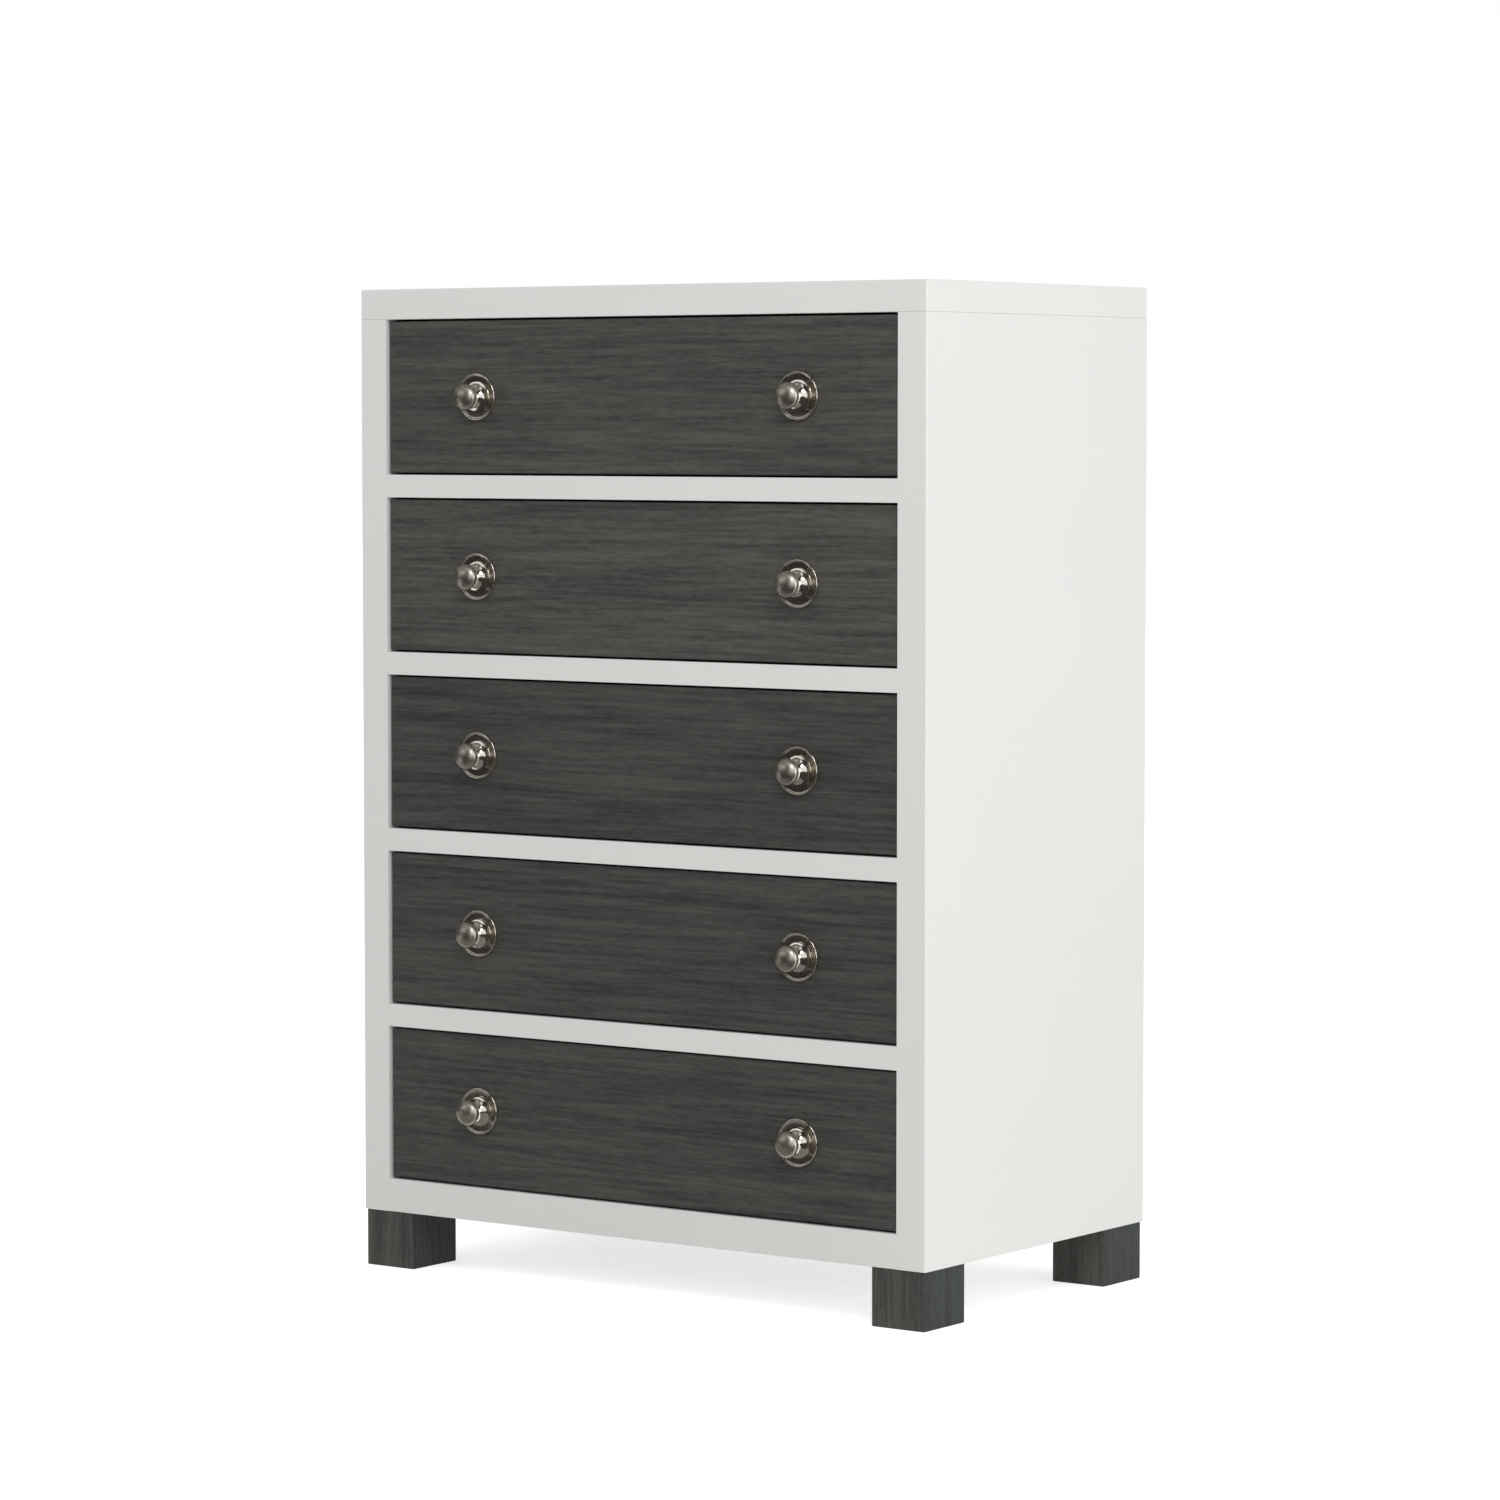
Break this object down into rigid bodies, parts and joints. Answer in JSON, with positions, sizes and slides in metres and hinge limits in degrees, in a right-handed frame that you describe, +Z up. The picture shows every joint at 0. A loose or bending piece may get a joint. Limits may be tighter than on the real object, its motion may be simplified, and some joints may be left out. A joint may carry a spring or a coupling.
{
  "type": "tall chest of drawers",
  "caption": "Tall white chest with stacked inset charcoal wood-grain drawers on ball slides, round dished nickel knobs and charcoal block feet.",
  "frame": {"origin": "on the floor, at the middle of the whole outline with the knobs included", "axes": "+Z up; the drawers open towards -Y; +X is to the right of someone facing the drawers"},
  "size_m": [0.84, 0.508, 1.21],
  "materials": {
    "white_lacquer": "satin white lacquer over a smooth sanded board, with eased edges",
    "case_panel_board": "white-faced particle board",
    "back_board": "thin fibreboard with a pale painted face",
    "charcoal_wood": "charcoal stain over open straight grain, matt clear coat",
    "drawer_box_wood": "clear-finished pale solid wood",
    "drawer_box_board": "thin pale plywood",
    "dowel_wood": "fluted beech, glued",
    "knob_nickel": "satin nickel plate on the head, polished in the dish",
    "slide_steel": "bright zinc-plated rolled steel",
    "fastener_steel": "zinc-plated steel"
  },
  "bodies": {
    "case": {"top_panel": "white_lacquer", "left_side_panel": "white_lacquer", "right_side_panel": "white_lacquer", "left_stile": "white_lacquer", "right_stile": "white_lacquer", "drawer_rail_1": "white_lacquer", "drawer_rail_2": "white_lacquer", "drawer_rail_3": "white_lacquer", "drawer_rail_4": "white_lacquer", "bottom_rail": "white_lacquer", "bottom_panel": "case_panel_board", "back_panel": "back_board", "slide_cleats": "drawer_box_wood", "case_slide_rails": "slide_steel", "front_left_foot": "charcoal_wood", "front_right_foot": "charcoal_wood", "rear_left_foot": "charcoal_wood", "rear_right_foot": "charcoal_wood", "foot_bolts": "fastener_steel", "joint_dowels": "dowel_wood"},
    "drawer_1": {"drawer_1_front": "charcoal_wood", "drawer_1_left_side": "drawer_box_wood", "drawer_1_right_side": "drawer_box_wood", "drawer_1_back": "drawer_box_wood", "drawer_1_bottom": "drawer_box_board", "drawer_1_knobs": "knob_nickel", "drawer_1_slide_rails": "slide_steel"},
    "ball_cage_1": {"drawer_1_ball_cages": "slide_steel"},
    "drawer_2": {"drawer_2_front": "charcoal_wood", "drawer_2_left_side": "drawer_box_wood", "drawer_2_right_side": "drawer_box_wood", "drawer_2_back": "drawer_box_wood", "drawer_2_bottom": "drawer_box_board", "drawer_2_knobs": "knob_nickel", "drawer_2_slide_rails": "slide_steel"},
    "ball_cage_2": {"drawer_2_ball_cages": "slide_steel"},
    "drawer_3": {"drawer_3_front": "charcoal_wood", "drawer_3_left_side": "drawer_box_wood", "drawer_3_right_side": "drawer_box_wood", "drawer_3_back": "drawer_box_wood", "drawer_3_bottom": "drawer_box_board", "drawer_3_knobs": "knob_nickel", "drawer_3_slide_rails": "slide_steel"},
    "ball_cage_3": {"drawer_3_ball_cages": "slide_steel"},
    "drawer_4": {"drawer_4_front": "charcoal_wood", "drawer_4_left_side": "drawer_box_wood", "drawer_4_right_side": "drawer_box_wood", "drawer_4_back": "drawer_box_wood", "drawer_4_bottom": "drawer_box_board", "drawer_4_knobs": "knob_nickel", "drawer_4_slide_rails": "slide_steel"},
    "ball_cage_4": {"drawer_4_ball_cages": "slide_steel"},
    "drawer_5": {"drawer_5_front": "charcoal_wood", "drawer_5_left_side": "drawer_box_wood", "drawer_5_right_side": "drawer_box_wood", "drawer_5_back": "drawer_box_wood", "drawer_5_bottom": "drawer_box_board", "drawer_5_knobs": "knob_nickel", "drawer_5_slide_rails": "slide_steel"},
    "ball_cage_5": {"drawer_5_ball_cages": "slide_steel"}
  },
  "joints": [
    {"name": "drawer_1_slide", "type": "slide", "parent": "case", "child": "drawer_1", "axis": [0, -1, 0], "range_m": [0, 0.3]},
    {"name": "ball_cage_1_travel", "type": "slide", "parent": "case", "child": "ball_cage_1", "axis": [0, -1, 0], "range_m": [0, 0.15]},
    {"name": "drawer_2_slide", "type": "slide", "parent": "case", "child": "drawer_2", "axis": [0, -1, 0], "range_m": [0, 0.3]},
    {"name": "ball_cage_2_travel", "type": "slide", "parent": "case", "child": "ball_cage_2", "axis": [0, -1, 0], "range_m": [0, 0.15]},
    {"name": "drawer_3_slide", "type": "slide", "parent": "case", "child": "drawer_3", "axis": [0, -1, 0], "range_m": [0, 0.3]},
    {"name": "ball_cage_3_travel", "type": "slide", "parent": "case", "child": "ball_cage_3", "axis": [0, -1, 0], "range_m": [0, 0.15]},
    {"name": "drawer_4_slide", "type": "slide", "parent": "case", "child": "drawer_4", "axis": [0, -1, 0], "range_m": [0, 0.3]},
    {"name": "ball_cage_4_travel", "type": "slide", "parent": "case", "child": "ball_cage_4", "axis": [0, -1, 0], "range_m": [0, 0.15]},
    {"name": "drawer_5_slide", "type": "slide", "parent": "case", "child": "drawer_5", "axis": [0, -1, 0], "range_m": [0, 0.3]},
    {"name": "ball_cage_5_travel", "type": "slide", "parent": "case", "child": "ball_cage_5", "axis": [0, -1, 0], "range_m": [0, 0.15]}
  ],
  "couplings": [
    {"joint": "ball_cage_1_travel", "follows": "drawer_1_slide", "ratio": 0.5},
    {"joint": "ball_cage_2_travel", "follows": "drawer_2_slide", "ratio": 0.5},
    {"joint": "ball_cage_3_travel", "follows": "drawer_3_slide", "ratio": 0.5},
    {"joint": "ball_cage_4_travel", "follows": "drawer_4_slide", "ratio": 0.5},
    {"joint": "ball_cage_5_travel", "follows": "drawer_5_slide", "ratio": 0.5}
  ]
}
